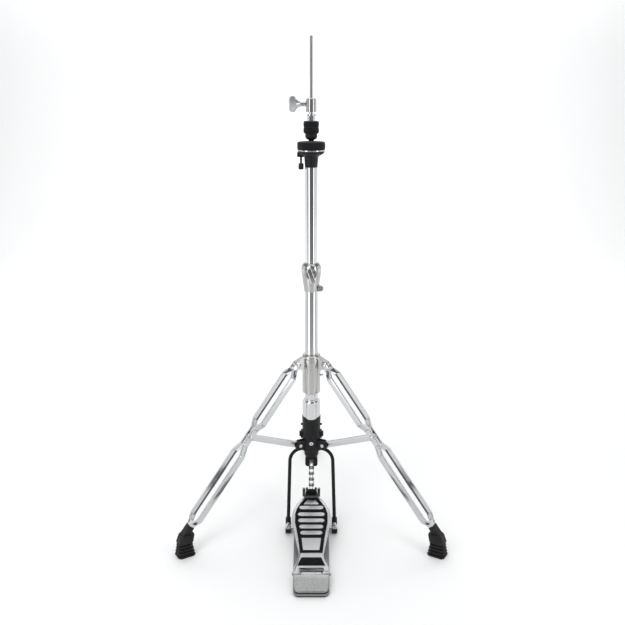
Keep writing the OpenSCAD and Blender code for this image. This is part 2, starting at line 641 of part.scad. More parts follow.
// Outline of a foot with cut corners: half its radial and tangential widths, and the cut.
function foot_outline(a, b, c) = [[a, b - c], [a - c, b], [c - a, b], [-a, b - c], [-a, c - b], [c - a, -b],
    [a - c, -b], [a, c - b]];
module foot_block(x, a, b, c, z0, z1) translate([x, 0, z0]) linear_extrude(height = z1 - z0)
    polygon(foot_outline(a, b, c));

rib_pitch = 7.6;
module foot(azimuth) color([0.07, 0.07, 0.07]) difference() {
    union() {
        in_leg_plane(azimuth) {
            for (i = [0:3]) {
                foot_block(foot_r, 19.5 - 1.1 * i, 16 - 0.9 * i, 5, i * rib_pitch, i * rib_pitch + 4.6);
                foot_block(foot_r, 16.5 - 1.1 * i, 13 - 0.9 * i, 4, i * rib_pitch + 4.5, (i + 1) * rib_pitch + 0.1);
            }
            hull() {
                foot_block(foot_r, 16, 13.2, 5, 4 * rib_pitch, 32);
                foot_block(foot_r - 5, 17, 14, 5, 44, 52);
                foot_block(foot_r - 8, 12.5, 10.5, 4, 58, 60);
            }
        }
        along_leg(azimuth) box(414.6, 428, -9.3, 9.3, -7, 7);
    }
    along_leg(azimuth) leg_tip();
}
module foot_left() foot(leg_azimuths[0]);
module foot_right() foot(leg_azimuths[1]);
module foot_rear() foot(leg_azimuths[2]);

lower_tube();
tube_sleeve();
base_casting();
casting_screws();
stretcher_pivot_pins();
frame_rod();
frame_rod_screw();
spur_blocks();
spur_left();
spur_right();
frame_pivot_pins();
base_plate();
base_rubber();
heel_plate();
heel_plate_rivets();
hinge_pin();
height_clamp();
clamp_bushing();
clamp_pinch_screw();
clamp_wing_bolt();
rod_guide_bush();
return_spring();
footboard();
footboard_grip();
footboard_badge();
toe_bracket();
toe_clamp();
toe_screws();
upper_pull_rod();
lower_pull_rod();
rod_coupler();
spring_collar();
chain_clevis();
clevis_pin();
chain_plates();
chain_pins();
upper_tube();
seat_tilter();
tilter_bush();
seat_pivot_pin();
seat_plate();
seat_felt();
tilt_screw();
clutch_body();
clutch_tube();
clutch_lock_nuts();
clutch_felts();
clutch_bottom_nut();
clutch_wing_screw();
leg_hub();
hub_key_screw();
leg_left();
leg_right();
leg_rear();
stretcher_left();
stretcher_right();
stretcher_rear();
foot_left();
foot_right();
foot_rear();
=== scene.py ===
"""Hi-hat stand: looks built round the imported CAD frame. Metres, +Z up, the player's side is -Y."""
import json
import math

import bmesh
import bpy
from mathutils import Matrix, Vector, noise


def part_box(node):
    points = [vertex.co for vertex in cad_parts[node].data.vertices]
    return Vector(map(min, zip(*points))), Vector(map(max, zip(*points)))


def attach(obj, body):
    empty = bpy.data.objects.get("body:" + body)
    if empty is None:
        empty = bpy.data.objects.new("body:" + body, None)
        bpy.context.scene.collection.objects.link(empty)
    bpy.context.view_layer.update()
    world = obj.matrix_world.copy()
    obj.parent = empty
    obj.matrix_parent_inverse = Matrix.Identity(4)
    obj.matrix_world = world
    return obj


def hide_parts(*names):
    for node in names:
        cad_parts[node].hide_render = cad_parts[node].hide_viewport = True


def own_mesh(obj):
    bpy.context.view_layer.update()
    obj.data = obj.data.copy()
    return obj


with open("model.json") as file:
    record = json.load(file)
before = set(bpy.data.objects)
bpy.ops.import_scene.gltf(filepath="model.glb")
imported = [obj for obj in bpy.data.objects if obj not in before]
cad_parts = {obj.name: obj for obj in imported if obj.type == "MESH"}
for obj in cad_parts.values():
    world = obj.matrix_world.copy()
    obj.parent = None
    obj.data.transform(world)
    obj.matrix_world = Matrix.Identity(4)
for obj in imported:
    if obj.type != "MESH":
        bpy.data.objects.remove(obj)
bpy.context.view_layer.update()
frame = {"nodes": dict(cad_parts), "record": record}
MM = 0.001
NODES = frame["nodes"]
BODY_OF = {n: b for b, names in frame["record"]["behaviour"]["bodies"].items() for n in names}
SLOT_OF = {s["node"]: s["material_slot"] for s in frame["record"]["subparts"]}


def middle(node):
    low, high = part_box(node)
    return (low + high) / 2


COLUMN = middle("lower_tube")
COLUMN.z = 0


# ---------------------------------------------------------------- camera, light and floor

CAMERA_LENS = 43.87
CAMERA_PLACE = (0.0026, -1.588, 0.9826)
CAMERA_DIP = 0.295
LIGHT_HEIGHT = 0.72


def add_camera():
    """Standing height, about 1.6 m in front of the column, looking down a little."""
    data = bpy.data.cameras.new("camera")
    data.sensor_width = 36
    data.lens = CAMERA_LENS
    camera = bpy.data.objects.new("camera", data)
    bpy.context.scene.collection.objects.link(camera)
    camera.location = COLUMN + Vector(CAMERA_PLACE)
    camera.rotation_euler = (math.pi / 2 - CAMERA_DIP, 0, 0)
    bpy.context.scene.camera = camera


def add_softbox(name, place, target, size, power):
    data = bpy.data.lights.new(name, "AREA")
    data.shape = "RECTANGLE"
    data.size, data.size_y = size
    data.energy = power
    lamp = bpy.data.objects.new(name, data)
    lamp.location = place
    lamp.rotation_euler = (Vector(target) - Vector(place)).to_track_quat("-Z", "Y").to_euler()
    lamp.visible_camera = False
    bpy.context.scene.collection.objects.link(lamp)


def add_studio():
    world = bpy.data.worlds.new("studio")
    world.use_nodes = True
    world.node_tree.nodes["Background"].inputs["Color"].default_value = (0.95, 0.97, 1, 1)
    world.node_tree.nodes["Background"].inputs["Strength"].default_value = 0.26
    bpy.context.scene.world = world
    bpy.context.scene.view_settings.view_transform = "Standard"
    bpy.context.scene.view_settings.look = "None"
    add_softbox("strip_left", (-0.78, -0.90, LIGHT_HEIGHT), (0, -0.01, LIGHT_HEIGHT), (0.38, 1.44), 4.4)
    add_softbox("strip_right", (0.92, -0.76, LIGHT_HEIGHT), (0, -0.01, LIGHT_HEIGHT), (0.34, 1.44), 3.8)
    for side in (-1, 1):
        add_softbox("fill_%d" % side, (2.1 * side, 0.4, LIGHT_HEIGHT), (0, 0, LIGHT_HEIGHT), (1.9, 1.44), 7)
    add_softbox("overhead", (0, 0.2, 3.0), (0, 0.2, 0), (3.2, 3.2), 40)
    add_softbox("key", (-1.1, -2.2, 2.3), (0, 0, 0.4), (0.9, 0.9), 12)
    add_softbox("backlight", (0, 2.2, 2.8), (0, 3.2, 0.4), (5, 1.2), 62)


def add_floor():
    """A pale floor that curves up into a backdrop, with painted shade: a grey wedge where the photographer
    stands.
    """
    bend, back, half, height = 1.2, 3.4, 9, 5
    line = [(-9, 0), (back - bend, 0)]
    for i in range(1, 13):
        a = math.radians(90 * i / 12)
        line.append((back - bend + bend * math.sin(a), bend - bend * math.cos(a)))
    line.append((back, height))
    verts = [(x, y, z) for y, z in line for x in (-half, half)]
    faces = [(2 * i, 2 * i + 1, 2 * i + 3, 2 * i + 2) for i in range(len(line) - 1)]
    mesh = bpy.data.meshes.new("floor")
    mesh.from_pydata(verts, [], faces)
    mesh.shade_smooth()
    floor = bpy.data.objects.new("floor", mesh)
    bpy.context.scene.collection.objects.link(floor)
    look = Look("floor_paper", (0.94, 0.94, 0.94), roughness=0.9)
    split = look.tree.nodes.new("ShaderNodeSeparateXYZ")
    look.link(look.coords.outputs["Object"], split.inputs[0])
    ahead = look.math("MULTIPLY", split.outputs[1], -1.0)
    bearing = look.math("DIVIDE", split.outputs[0], look.math("MAXIMUM", ahead, 0.3))
    aside = look.math("ABSOLUTE", look.math("SUBTRACT", bearing, 0.2))
    # Painted shade: the floor is grey in a wedge in front of the stand, so the chrome reflects a dark band
    # there.
    pale = look.math("MAXIMUM", look.smooth(aside, 0.54, 0.72), look.smooth(ahead, 1.2, 0.95))
    look.colored(pale, (0.58, 0.59, 0.59), (0.94, 0.94, 0.94), 0.0, 1.0)
    mesh.materials.append(look.material)


# ---------------------------------------------------------------- materials

class Look:
    """A Principled material with short helpers for procedural detail in object coordinates."""

    def __init__(self, name, color, metallic=0.0, roughness=0.5, **sockets):
        self.material = bpy.data.materials.new(name)
        self.material.use_nodes = True
        self.tree = self.material.node_tree
        self.shader = self.tree.nodes["Principled BSDF"]
        self.coords = self.tree.nodes.new("ShaderNodeTexCoord")
        self.put("Base Color", (*color, 1))
        self.put("Metallic", metallic)
        self.put("Roughness", roughness)
        for socket, value in sockets.items():
            self.put(socket.replace("_", " "), value)
        self.normal = None

    def put(self, socket, value):
        self.shader.inputs[socket].default_value = value

    def link(self, out, into):
        self.tree.links.new(out, into)

    def noise(self, scale, stretch=(1, 1, 1), detail=3.0, rough=0.55):
        """Noise with features about 1/scale metres across, stretched along an axis where wanted."""
        mapping = self.tree.nodes.new("ShaderNodeMapping")
        mapping.inputs["Scale"].default_value = stretch
        self.link(self.coords.outputs["Object"], mapping.inputs["Vector"])
        node = self.tree.nodes.new("ShaderNodeTexNoise")
        node.inputs["Scale"].default_value = scale
        node.inputs["Detail"].default_value = detail
        node.inputs["Roughness"].default_value = rough
        self.link(mapping.outputs["Vector"], node.inputs["Vector"])
        return node.outputs["Fac"]

    def cells(self, scale):
        node = self.tree.nodes.new("ShaderNodeTexVoronoi")
        node.inputs["Scale"].default_value = scale
        self.link(self.coords.outputs["Object"], node.inputs["Vector"])
        return node.outputs["Distance"]

    def spread(self, value, low, high, start=0.3, stop=0.7):
        """Maps a texture from start..stop to low..high."""
        node = self.tree.nodes.new("ShaderNodeMapRange")
        for name, number in (("From Min", start), ("From Max", stop), ("To Min", low), ("To Max", high)):
            node.inputs[name].default_value = number
        self.link(value, node.inputs["Value"])
        return node.outputs["Result"]

    def math(self, operation, first, second=0.0):
        node = self.tree.nodes.new("ShaderNodeMath")
        node.operation = operation
        for socket, value in zip(node.inputs, (first, second)):
            if isinstance(value, (int, float)):
                socket.default_value = value
            else:
                self.link(value, socket)
        return node.outputs[0]

    def smooth(self, value, start, stop):
        """0 at start, 1 at stop, eased at both ends."""
        node = self.tree.nodes.new("ShaderNodeMapRange")
        node.interpolation_type = "SMOOTHSTEP"
        node.inputs["From Min"].default_value = min(start, stop)
        node.inputs["From Max"].default_value = max(start, stop)
        node.inputs["To Min"].default_value = 0.0 if start < stop else 1.0
        node.inputs["To Max"].default_value = 1.0 if start < stop else 0.0
        self.link(value, node.inputs["Value"])
        return node.outputs["Result"]

    def ramp(self, value, low, high, start=0.3, stop=0.7):
        node = self.tree.nodes.new("ShaderNodeValToRGB")
        node.color_ramp.elements[0].position = start
        node.color_ramp.elements[0].color = (*low, 1)
        node.color_ramp.elements[1].position = stop
        node.color_ramp.elements[1].color = (*high, 1)
        self.link(value, node.inputs["Fac"])
        return node.outputs["Color"]

    def colored(self, value, low, high, start=0.3, stop=0.7):
        self.link(self.ramp(value, low, high, start, stop), self.shader.inputs["Base Color"])
        return self

    def roughened(self, value, low, high, start=0.3, stop=0.7):
        self.link(self.spread(value, low, high, start, stop), self.shader.inputs["Roughness"])
        return self

    def bumped(self, value, strength, distance):
        """Adds a bump of that height in metres on top of any earlier one."""
        node = self.tree.nodes.new("ShaderNodeBump")
        node.inputs["Strength"].default_value = strength
        node.inputs["Distance"].default_value = distance
        self.link(value, node.inputs["Height"])
        if self.normal is not None:
            self.link(self.normal, node.inputs["Normal"])
        self.normal = node.outputs["Normal"]
        self.link(self.normal, self.shader.inputs["Normal"])
        return self


DUST_LIFT = 1.6


def plated(name, color, polish, grain=None, wave=0.00002):
    """Chrome plate: mirror polish with faint handling haze and a slight unevenness of the steel."""
    look = Look(name, color, metallic=1.0, roughness=polish)
    look.roughened(look.noise(55, detail=6), polish, polish + 0.07)
    look.colored(look.noise(18), [c * 0.955 for c in color], color)
    look.bumped(look.noise(90, detail=2), 0.25, wave)
    if grain:
        look.bumped(look.noise(900, grain, detail=2), 0.12, 0.00002)
    return look.material


def coated(name, color, roughness, pebble, height):
    """Powder coat or enamel: fine orange peel, and dust that lightens it in places."""
    look = Look(name, color, roughness=roughness, Specular_IOR_Level=0.18)
    look.roughened(look.noise(60, detail=5), roughness - 0.08, roughness + 0.12)
    look.colored(look.noise(150, detail=6), color, [c * DUST_LIFT + 0.002 for c in color], 0.35, 0.8)
    look.bumped(look.noise(pebble, detail=2), 0.5, height)
    return look.material


def make_materials():
    looks = {}
    looks["chrome_tube"] = plated("chrome_tube", (0.63, 0.64, 0.65), 0.05, (1, 1, 0.02))
    looks["cast_chrome"] = plated("cast_chrome", (0.50, 0.495, 0.485), 0.14, wave=0.00008)
    looks["bright_steel"] = plated("bright_steel", (0.58, 0.59, 0.60), 0.12)
    looks["leg_chrome"] = plated("leg_chrome", (0.60, 0.61, 0.62), 0.08, wave=0.00005)
    looks["pull_rod_steel"] = plated("pull_rod_steel", (0.34, 0.345, 0.35), 0.16, (1, 1, 0.01))
    looks["spring_steel"] = plated("spring_steel", (0.30, 0.30, 0.31), 0.3)
    looks["base_steel"] = plated("base_steel", (0.27, 0.275, 0.28), 0.32, (1, 0.05, 1))
    board = Look("board_metal", (0.48, 0.485, 0.49), metallic=1.0, roughness=0.3)
    board.roughened(board.noise(70, detail=6), 0.34, 0.48)
    place = board.tree.nodes.new("ShaderNodeSeparateXYZ")
    board.link(board.coords.outputs["Object"], place.inputs[0])
    # Darker towards the heel end of the tread, with fine random speckle mixed in.
    heel_darkening = board.math("MULTIPLY", board.smooth(place.outputs[1], -0.262, -0.285), 0.4)
    speckle = board.math("MULTIPLY", board.noise(260, detail=5), 0.6)
    speckle_and_heel_darkening = board.math("ADD", speckle, heel_darkening)
    board.colored(speckle_and_heel_darkening, (0.53, 0.535, 0.54), (0.27, 0.27, 0.27), 0.18, 0.82)
    board.bumped(board.noise(1400, detail=2), 0.2, 0.00004)
    board.bumped(board.noise(700, (1, 0.05, 1), detail=2), 0.15, 0.00004)
    looks["board_metal"] = board.material
    badge = Look("badge_metal", (0.52, 0.53, 0.54), metallic=1.0, roughness=0.22)
    badge.roughened(badge.noise(900, (0.03, 1, 1)), 0.36, 0.42)
    badge.colored(badge.noise(900, (0.03, 1, 1)), (0.50, 0.51, 0.52), (0.54, 0.55, 0.56))
    badge.bumped(badge.noise(1200, (0.02, 1, 1)), 0.06, 0.00002)
    looks["badge_metal"] = badge.material
    looks["black_casting"] = coated("black_casting", (0.010, 0.010, 0.011), 0.40, 900, 0.00012)
    looks["black_rod"] = coated("black_rod", (0.008, 0.008, 0.009), 0.26, 500, 0.00004)
    looks["black_steel"] = coated("black_steel", (0.009, 0.009, 0.010), 0.34, 1200, 0.00004)
    chain = Look("chain_black", (0.03, 0.03, 0.03), metallic=0.85, roughness=0.3)
    chain.roughened(chain.noise(300, detail=4), 0.2, 0.42)
    chain.colored(chain.noise(240, detail=5), (0.02, 0.02, 0.021), (0.12, 0.12, 0.12), 0.45, 0.8)
    chain.bumped(chain.noise(1500), 0.2, 0.00004)
    looks["chain_black"] = chain.material
    rubber = Look("rubber", (0.01, 0.01, 0.01), roughness=0.6, Specular_IOR_Level=0.26)
    rubber.roughened(rubber.noise(120, detail=6), 0.48, 0.72)
    rubber.colored(rubber.noise(60, detail=8, rough=0.7), (0.008, 0.008, 0.008), (0.02, 0.0195, 0.019),
                   0.4, 0.75)
    rubber.bumped(rubber.noise(700, detail=4), 0.35, 0.00012)
    looks["rubber"] = rubber.material
    grip = Look("grip_black", (0.006, 0.006, 0.007), roughness=0.75, Specular_IOR_Level=0.1)
    grip.roughened(grip.noise(90, detail=5), 0.58, 0.8)
    grip.colored(grip.cells(1500), (0.010, 0.010, 0.011), (0.004, 0.004, 0.005), 0.15, 0.6)
    grip.bumped(grip.cells(1500), 0.7, 0.0002)
    looks["grip_black"] = grip.material
    felt = Look("felt_black", (0.02, 0.02, 0.022), roughness=0.95, Sheen_Weight=0.12, Sheen_Roughness=0.5,
                Specular_IOR_Level=0.15)
    felt.colored(felt.noise(1100, detail=8, rough=0.8), (0.005, 0.005, 0.006), (0.022, 0.022, 0.024),
                 0.35, 0.75)
    felt.bumped(felt.noise(1600, (1, 1, 2.4), detail=8, rough=0.8), 0.9, 0.0005)
    felt.bumped(felt.noise(240, detail=4), 0.5, 0.0006)
    looks["felt_black"] = felt.material
    plastic = Look("black_plastic", (0.011, 0.011, 0.012), roughness=0.38, Specular_IOR_Level=0.28)
    plastic.roughened(plastic.noise(110, detail=5), 0.3, 0.5)
    plastic.colored(plastic.noise(80, detail=4), (0.009, 0.009, 0.010), (0.015, 0.015, 0.016))
    plastic.bumped(plastic.noise(1500, detail=2), 0.3, 0.00005)
    looks["black_plastic"] = plastic.material
    nylon = Look("white_nylon", (0.76, 0.75, 0.70), roughness=0.45, Subsurface_Weight=0.1)
    nylon.colored(nylon.noise(130, detail=4), (0.70, 0.69, 0.64), (0.80, 0.79, 0.75))
    nylon.bumped(nylon.noise(900), 0.2, 0.00005)
    looks["white_nylon"] = nylon.material
    return looks


LOOKS = make_materials()
for cad_node, cad_object in NODES.items():
    cad_object.material_slots[0].material = LOOKS[SLOT_OF[cad_node]]


# ---------------------------------------------------------------- mesh helpers

def add_piece(name, mesh, node, replaced=None, look=None):
    """Makes an object of the mesh that rides with the node's body and stands for it."""
    obj = bpy.data.objects.new(name, mesh)
    bpy.context.scene.collection.objects.link(obj)
    slot = look or SLOT_OF[node]
    mesh.materials.clear()
    mesh.materials.append(LOOKS[slot])
    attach(obj, BODY_OF[node])
    if replaced is None:
        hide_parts(node)
    elif replaced:
        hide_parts(*replaced)
    return obj


BEVEL_SEGMENTS = 3
BEVEL_ANGLE = math.radians(32)


def softened(node, width):
    """A copy of a CAD node with welded faces and rounded edges."""
    mesh = NODES[node].data.copy()
    mesh.name = node + "_rounded"
    if "custom_normal" in mesh.attributes:
        mesh.attributes.remove(mesh.attributes["custom_normal"])
    work = bmesh.new()
    work.from_mesh(mesh)
    bmesh.ops.remove_doubles(work, verts=work.verts, dist=0.00002)
    bmesh.ops.dissolve_limit(work, angle_limit=math.radians(0.6), verts=work.verts, edges=work.edges)
    work.to_mesh(mesh)
    work.free()
    obj = add_piece(node + "_rounded", mesh, node)
    bevel = obj.modifiers.new("edge_round", "BEVEL")
    bevel.width = width * MM
    bevel.segments = BEVEL_SEGMENTS
    bevel.limit_method = "ANGLE"
    bevel.angle_limit = BEVEL_ANGLE
    bevel.use_clamp_overlap = True
    weighted = obj.modifiers.new("normals", "WEIGHTED_NORMAL")
    weighted.keep_sharp = True
    mesh.shade_smooth()


def shift(x=0.0, y=0.0, z=0.0):
    return Matrix.Translation((x, y, z))


def turn(degrees, axis):
    return Matrix.Rotation(math.radians(degrees), 4, axis)


AT_COLUMN = shift(0, -12, 0)
ALONG_X = turn(90, "Y")
ALONG_Y = turn(-90, "X")


def filleted(points, radius, steps=4, closed=True):
    """Rounds the corners of a line; a point may carry a radius of its own as a third number."""
    out = []
    last = len(points) - 1
    for i, point in enumerate(points):
        reach = point[2] if len(point) > 2 else radius
        here = Vector(point[:2])
        if not closed and i in (0, last):
            out.append(here)
            continue
        to_last = Vector(points[i - 1][:2]) - here
        to_next = Vector(points[(i + 1) % len(points)][:2]) - here
        half = to_last.angle(to_next) / 2
        cut = min(reach / math.tan(half), to_last.length * 0.49, to_next.length * 0.49)
        if cut < 0.001 or half > math.radians(89.5):
            out.extend([here] * (steps + 1))
            continue
        arc = cut * math.tan(half)
        centre = here + (to_last.normalized() + to_next.normalized()).normalized() * arc / math.sin(half)
        start = here + to_last.normalized() * cut - centre
        stop = here + to_next.normalized() * cut - centre
        for k in range(steps + 1):
            spoke = start.lerp(stop, k / steps).normalized() * arc
            out.append(centre + spoke)
    return out


def mirrored(half):
    return list(half) + [(-q[0],) + tuple(q[1:]) for q in reversed(half)]


def inset(outline, depth):
    """Moves each corner of a closed outline inwards by that depth."""
    count = len(outline)
    area = sum(outline[i][0] * outline[(i + 1) % count][1] - outline[(i + 1) % count][0] * outline[i][1]
               for i in range(count))
    side = 1 if area > 0 else -1
    out = []
    for i in range(count):
        here = Vector(outline[i])
        before, after = None, None
        for k in range(1, count):
            if (here - Vector(outline[i - k])).length > 1e-5:
                before = (here - Vector(outline[i - k])).normalized()
                break
        for k in range(1, count):
            if (Vector(outline[(i + k) % count]) - here).length > 1e-5:
                after = (Vector(outline[(i + k) % count]) - here).normalized()
                break
        first = Vector((-before.y, before.x)) * side
        second = Vector((-after.y, after.x)) * side
        middle_way = (first + second).normalized()
        out.append(here + middle_way * depth / max(0.35, middle_way.dot(first)))
    return out


def stadium(half_w, half_h, y=0.0, steps=10):
    """A bar with round ends, across X."""
    out = []
    for side in (1, -1):
        for k in range(steps + 1):
            a = math.radians(-90 + 180 * k / steps)
            across = side * (half_w - half_h + half_h * math.cos(a))
            out.append((across, y + side * half_h * math.sin(a)))
    return out


class Shape:
    """Collects closed shells in millimetres and makes one mesh of them."""

    def __init__(self, place=None):
        self.verts, self.faces = [], []
        self.place = place or Matrix()

    def skin(self, rings, place=None, loop=False):
        """Joins rings of equally many (x, y, z) points, and closes both ends."""
        matrix = self.place @ (place or Matrix())
        base, count = len(self.verts), len(rings[0])
        self.verts += [matrix @ Vector(p) for ring in rings for p in ring]
        total = len(rings) if loop else len(rings) - 1
        for i in range(total):
            one, two = base + i * count, base + (i + 1) % len(rings) * count
            for k in range(count):
                n = (k + 1) % count
                self.faces.append((one + k, one + n, two + n, two + k))
        if not loop:
            self.faces.append(tuple(base + k for k in reversed(range(count))))
            self.faces.append(tuple(base + (len(rings) - 1) * count + k for k in range(count)))
        return self

    def lathe(self, profile, place=None, steps=64, loop=False, wave=None):
        """Turns (radius, height) points about Z; wave(angle, radius, height) changes the radius."""
        rings = []
        for r, z in profile:
            ring = []
            for k in range(steps):
                a = 2 * math.pi * k / steps
                reach = max(r, 0.001) + (wave(a, r, z) if wave else 0)
                ring.append((reach * math.cos(a), reach * math.sin(a), z))
            rings.append(ring)
        return self.skin(rings, place, loop)

    def plate(self, outline, low, high, edge, place=None, steps=3):
        """A flat piece with rounded rims."""
        angles = [math.radians(90 * k / steps) for k in range(steps + 1)]
        curve = [(edge * (1 - math.cos(a)), edge * (1 - math.sin(a))) for a in angles]
        levels = [(low + rise, d) for rise, d in curve] + [(high - rise, d) for rise, d in reversed(curve)]
        return self.skin([[(p[0], p[1], z) for p in inset(outline, d)] for z, d in levels], place)

    def block(self, x0, x1, y0, y1, z0, z1, edge, place=None, corner=None):
        corner = edge if corner is None else corner
        outline = filleted([(x0, y0), (x1, y0), (x1, y1), (x0, y1)], corner)
        return self.plate(outline, z0, z1, edge, place)

    def pin(self, radius, low, high, edge, place=None, steps=40):
        profile = filleted([(0, low), (radius, low), (radius, high), (0, high)], edge, 3, closed=False)
        return self.lathe(profile, place, steps)

    def dome(self, radius, low, high, place=None, steps=40):
        """A low domed head from low to high."""
        rim = low + (high - low) * 0.35
        profile = [(0, low), (radius, low), (radius, rim)]
        for k in range(1, 7):
            a = math.radians(15 * k)
            profile.append((radius * math.cos(a), rim + (high - rim) * math.sin(a)))
        return self.lathe(profile, place, steps)

    def mesh(self, name, angle=35):
        mesh = bpy.data.meshes.new(name)
        mesh.from_pydata([v * MM for v in self.verts], [], self.faces)
        work = bmesh.new()
        work.from_mesh(mesh)
        bmesh.ops.remove_doubles(work, verts=work.verts, dist=0.000002)
        bmesh.ops.recalc_face_normals(work, faces=work.faces)
        work.to_mesh(mesh)
        work.free()
        mesh.shade_smooth()
        mesh.set_sharp_from_angle(angle=math.radians(angle))
        return mesh


# ---------------------------------------------------------------- tripod

AZIMUTHS = {"left": 210, "right": 330, "rear": 90}
LEG_ANGLE = 39.47
LEG_PIVOT_R, LEG_PIVOT_Z = 37, 386
LEG_RIVET = 188
STRETCHER_PIVOT_R, STRETCHER_PIVOT_Z = 32, 190
FOOT_R = 316
STRIP_LINE = [(-8, 8), (13, 8), (30, 21), (150, 21), (168, 8.5), (207, 8.5), (230, 21), (394, 21),
              (409, 8.9), (414, 8.9)]
STRIP_HALF, SHEET, FLANGE = 7.0, 1.5, 4.5
STRIP_END_R, STRIP_TIP = 8, 409
FLANGE_FROM, FLANGE_TO = 17, 403
EDGE_ROLL = 1.4


def leg_strip(shape, side):
    """A pressed strip with turned-in flanges that fade out at its ends."""
    line = filleted(STRIP_LINE, 7, 5, closed=False)
    line = [Vector(q) for q in line]
    stations = []
    for a, b in zip(line, line[1:]):
        parts = max(1, int((b - a).length / 4))
        stations += [a.lerp(b, k / parts) for k in range(parts)]
    stations.append(line[-1])
    rings = []
    for i, here in enumerate(stations):
        along = (stations[min(i + 1, len(stations) - 1)] - stations[max(i - 1, 0)]).normalized()
        inward = Vector((along.y, -along.x))
        grown = min(1.0, max(0.0, (here.x - FLANGE_FROM) / 7), max(0.0, (FLANGE_TO - here.x) / 6))
        depth = SHEET + 0.03 + (FLANGE - SHEET) * grown
        half = STRIP_HALF
        if here.x < 0:
            half = min(half, math.sqrt(max(STRIP_END_R ** 2 - here.x ** 2, 0.5)))
        elif here.x > STRIP_TIP:
            half = STRIP_HALF - (here.x - STRIP_TIP) * 0.25
        section = [(depth, -half)]
        for k in range(5):
            a = math.radians(90 * k / 4)
            section.append((EDGE_ROLL - EDGE_ROLL * math.sin(a), -half + EDGE_ROLL - EDGE_ROLL * math.cos(a)))
        for k in range(5):
            a = math.radians(90 * k / 4)
            section.append((EDGE_ROLL - EDGE_ROLL * math.cos(a), half - EDGE_ROLL + EDGE_ROLL * math.sin(a)))
        section += [(depth, half), (depth, half - SHEET * 0.98), (SHEET, half - SHEET * 0.98),
                    (SHEET, -half + SHEET * 0.98), (depth, -half + SHEET * 0.98)]
        ring = []
        for d, z in section:
            spot = here + inward * d
            ring.append((spot.x, side * spot.y, z))
        rings.append(ring)
    shape.skin(rings)


def build_leg(key, azimuth):
    """Two strips with their rivets and pivot, and the block that the foot sits on."""
    place = AT_COLUMN @ turn(azimuth, "Z") @ shift(LEG_PIVOT_R, 0, LEG_PIVOT_Z) @ turn(90 - LEG_ANGLE, "Y")
    shape = Shape(place)
    for side in (1, -1):
        leg_strip(shape, side)
        outward = turn(-90 * side, "X")
        for t, low, radius in ((0, 8, 4.5), (LEG_RIVET, 8.5, 5)):
            shape.pin(radius + 0.9, low, low + 0.7, 0.25, shift(t) @ outward)
            shape.dome(radius, low + 0.6, low + 2.5, shift(t) @ outward)
        shape.pin(3, 3, 9, 0.4, shift(LEG_RIVET) @ outward)
    shape.pin(2.5, -10, 10, 0.4, ALONG_Y)
    shape.block(402.5, 436, -7.6, 7.6, -5.3, 5.3, 1.2)
    add_piece("leg_%s_strips" % key, shape.mesh("leg_" + key), "leg_" + key)


def foot_ring(x, a, b, corner, z):
    corners = [(a, corner - b), (a, b - corner), (a - corner, b), (corner - a, b), (-a, b - corner),
               (-a, corner - b), (corner - a, -b), (a - corner, -b)]
    return [(FOOT_R + x + p[0], p[1], z) for p in filleted(corners, 1.4, 3)]


def build_foot(key, azimuth):
    """Four sharp ribs that grow towards the floor, a block that leans in, and a neck round the leg."""
    shape = Shape(AT_COLUMN @ turn(azimuth, "Z"))
    rings = []
    for i in range(4):
        a, b, low = 19.5 - 1.1 * i, 16 - 0.9 * i, 7.6 * i
        for z, d in ((0.0, 0.8), (0.4, 0.2), (1.0, 0.0), (2.8, 0.0), (3.4, 0.4), (4.0, 1.6), (5.2, 4.6),
                     (6.0, 5.0), (6.8, 4.6), (7.4, 2.6)):
            rings.append(foot_ring(0, a - d, b - d, 5, low + z))
    for z, x, a, b in ((30.2, 0, 14.6, 12.0), (30.7, 0, 15.8, 13.0), (31.6, -0.2, 16.2, 13.3),
                       (40, -2.8, 15.6, 13.2), (48.2, -5.2, 14.9, 12.6), (49.4, -5.5, 14.3, 12.0),
                       (50, -5.7, 13.2, 10.9)):
        rings.append(foot_ring(x, a, b, 3.5, z))
    shape.skin(rings)
    neck_place = shift(LEG_PIVOT_R, 0, LEG_PIVOT_Z) @ turn(90 - LEG_ANGLE, "Y")
    shape.block(414.6, 441, -8.9, 8.9, -6.5, 6.5, 0.9, neck_place, 1.4)
    add_piece("foot_%s_ribbed" % key, shape.mesh("foot_" + key), "foot_" + key)


def build_stretcher(key, azimuth):
    """A flat bar with round ends and softly rolled edges."""
    rise = LEG_PIVOT_Z - LEG_RIVET * math.cos(math.radians(LEG_ANGLE)) - STRETCHER_PIVOT_Z
    run = LEG_PIVOT_R + LEG_RIVET * math.sin(math.radians(LEG_ANGLE)) - STRETCHER_PIVOT_R
    length = math.hypot(rise, run)
    slope = turn(-math.degrees(math.atan2(rise, run)), "Y")
    place = AT_COLUMN @ turn(azimuth, "Z") @ shift(STRETCHER_PIVOT_R, 0, STRETCHER_PIVOT_Z) @ slope
    shape = Shape(place @ shift(length / 2) @ turn(90, "X"))
    shape.plate(stadium(length / 2 + 7.5, 7.5, steps=16), -2, 2, 0.9, steps=4)
    add_piece("stretcher_%s_bar" % key, shape.mesh("stretcher_" + key), "stretcher_" + key)


# ---------------------------------------------------------------- chain and spring

CLEVIS_PIN_Z, CHAIN_LEAN = 138.43, 4.81
CHAIN_PLACE = AT_COLUMN @ shift(0, 0, CLEVIS_PIN_Z) @ turn(-CHAIN_LEAN, "X")
PITCH, LINKS = 14.3, 5
LINK_R, LINK_SHEET = 4.3, 1.3


def link_outline():
    """Side view of a link plate with a waist, hanging from its upper pin."""
    out = []
    for end in (0, 1):
        for k in range(13):
            a = math.radians(-62 + 304 * k / 12)
            x, y = LINK_R * math.cos(a), LINK_R * math.sin(a)
            out.append((x, y) if end == 0 else (-x, -y - PITCH))
    return out


